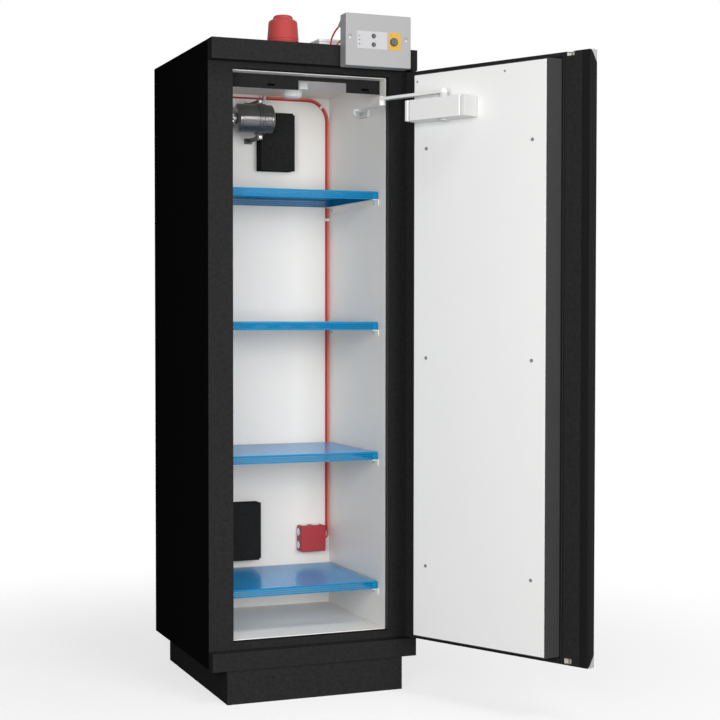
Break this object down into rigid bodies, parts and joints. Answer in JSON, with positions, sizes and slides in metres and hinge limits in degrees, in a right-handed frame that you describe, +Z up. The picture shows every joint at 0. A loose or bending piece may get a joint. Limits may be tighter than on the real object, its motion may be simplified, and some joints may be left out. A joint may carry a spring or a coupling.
{
  "type": "battery cabinet",
  "caption": "Tall insulated battery charging cabinet with one door, shelf pans, alarm panel, siren, closer linkage and exhaust spigot.",
  "frame": {"origin": "centre of the cabinet's footprint, on the floor under the plinth", "axes": "+X to the right seen from the front, +Y to the back, +Z up"},
  "size_m": [0.8721, 1.1563, 1.893],
  "materials": {
    "black_steel": "fine textured powder coat",
    "zinc_steel": "zinc plated",
    "stainless": "polished stainless",
    "white_steel": "smooth white coat",
    "blue_steel": "satin blue coat",
    "insulating_board": "mineral board, raw",
    "dark_plastic": "matt",
    "seal_rubber": "matt",
    "grey_plastic": "fine texture",
    "white_plastic": "smooth",
    "red_plastic": "moulded",
    "orange_jacket": "smooth",
    "yellow_plastic": "smooth"
  },
  "bodies": {
    "cabinet": {"outer_shell": "black_steel", "fire_boards": "insulating_board", "inner_liner": "white_steel", "front_frame": "black_steel", "jamb_seal": "seal_rubber", "top_fascia": "black_steel", "bottom_fascia": "black_steel", "plinth": "black_steel", "levelling_feet": "zinc_steel", "header_plate": "black_steel", "shelf_1": "blue_steel", "shelf_2": "blue_steel", "shelf_3": "blue_steel", "shelf_4": "blue_steel", "shelf_rails": "white_steel", "cabinet_screws": "zinc_steel", "vent_covers": "black_steel", "exhaust_spigot": "zinc_steel", "canister_body": "stainless", "canister_head": "stainless", "canister_mount": "stainless", "smoke_detector": "white_plastic", "socket_box": "red_plastic", "socket_box_lid": "red_plastic", "cable_membranes": "grey_plastic", "red_cable": "red_plastic", "orange_cable": "orange_jacket", "cable_clips": "white_plastic", "siren": "red_plastic", "roof_box": "white_plastic", "lead_glands": "grey_plastic", "red_lead": "red_plastic", "orange_lead": "orange_jacket", "panel_box": "grey_plastic", "panel_cover": "grey_plastic", "blank_plates": "yellow_plastic", "panel_lamps": "dark_plastic", "key_switch_body": "zinc_steel", "closer_shoe": "white_steel"},
    "door": {"door_skin": "black_steel", "door_core": "insulating_board", "plug_rim": "dark_plastic", "inner_panel": "white_steel", "door_gasket": "seal_rubber", "edge_grip": "black_steel", "grip_caps": "grey_plastic", "door_screws": "white_plastic", "pivot_pins": "zinc_steel", "lock_case": "zinc_steel", "lock_rosettes": "zinc_steel", "closer_body": "white_steel"},
    "closer_main_arm": {"closer_main_arm": "white_steel"},
    "closer_forearm": {"closer_forearm": "zinc_steel"},
    "handle": {"handle": "black_steel"},
    "top_rod": {"top_rod": "zinc_steel"},
    "bottom_rod": {"bottom_rod": "zinc_steel"},
    "lock_core": {"lock_core": "zinc_steel"},
    "button_1": {"button_1": "dark_plastic"},
    "button_2": {"button_2": "dark_plastic"},
    "key_core": {"key_core": "zinc_steel"}
  },
  "joints": [
    {"name": "door_hinge", "type": "hinge", "parent": "cabinet", "child": "door", "pos_m": [0.292, -0.298, 0], "axis": [0, 0, 1], "range_deg": [-116.5, 0]},
    {"name": "closer_spindle", "type": "hinge", "parent": "door", "child": "closer_main_arm", "pos_m": [0.27832, -0.5283, 1.659], "axis": [0, 0, 1], "range_deg": [0, 116.5]},
    {"name": "closer_elbow", "type": "hinge", "parent": "closer_main_arm", "child": "closer_forearm", "pos_m": [0.18432, -0.3263, 1.648], "axis": [0, 0, 1], "range_deg": [-116.5, 0]},
    {"name": "handle_turn", "type": "hinge", "parent": "door", "child": "handle", "pos_m": [0.54234, -0.77882, 1.01], "axis": [-0.8949, -0.4462, 0], "range_deg": [0, 90]},
    {"name": "top_bolt", "type": "slide", "parent": "door", "child": "top_rod", "axis": [0, 0, 1], "range_m": [0, 0.02]},
    {"name": "bottom_bolt", "type": "slide", "parent": "door", "child": "bottom_rod", "axis": [0, 0, -1], "range_m": [0, 0.02]},
    {"name": "lock_turn", "type": "hinge", "parent": "door", "child": "lock_core", "pos_m": [0.54234, -0.77882, 0.95], "axis": [-0.8949, -0.4462, 0], "range_deg": [0, 90]},
    {"name": "upper_button", "type": "slide", "parent": "cabinet", "child": "button_1", "axis": [0, 1, 0], "range_m": [0, 0.002], "stiffness_N_per_m": 400},
    {"name": "lower_button", "type": "slide", "parent": "cabinet", "child": "button_2", "axis": [0, 1, 0], "range_m": [0, 0.002], "stiffness_N_per_m": 400},
    {"name": "key_turn", "type": "hinge", "parent": "cabinet", "child": "key_core", "pos_m": [0.2104, -0.3485, 1.8144], "axis": [0, 1, 0], "range_deg": [0, 90]}
  ],
  "couplings": [
    {"joint": "closer_spindle", "follows": "door_hinge", "ratio": -1},
    {"joint": "closer_elbow", "follows": "door_hinge", "ratio": 1},
    {"joint": "top_bolt", "follows": "handle_turn", "m_per_rad": 0.01273},
    {"joint": "bottom_bolt", "follows": "handle_turn", "m_per_rad": 0.01273}
  ]
}
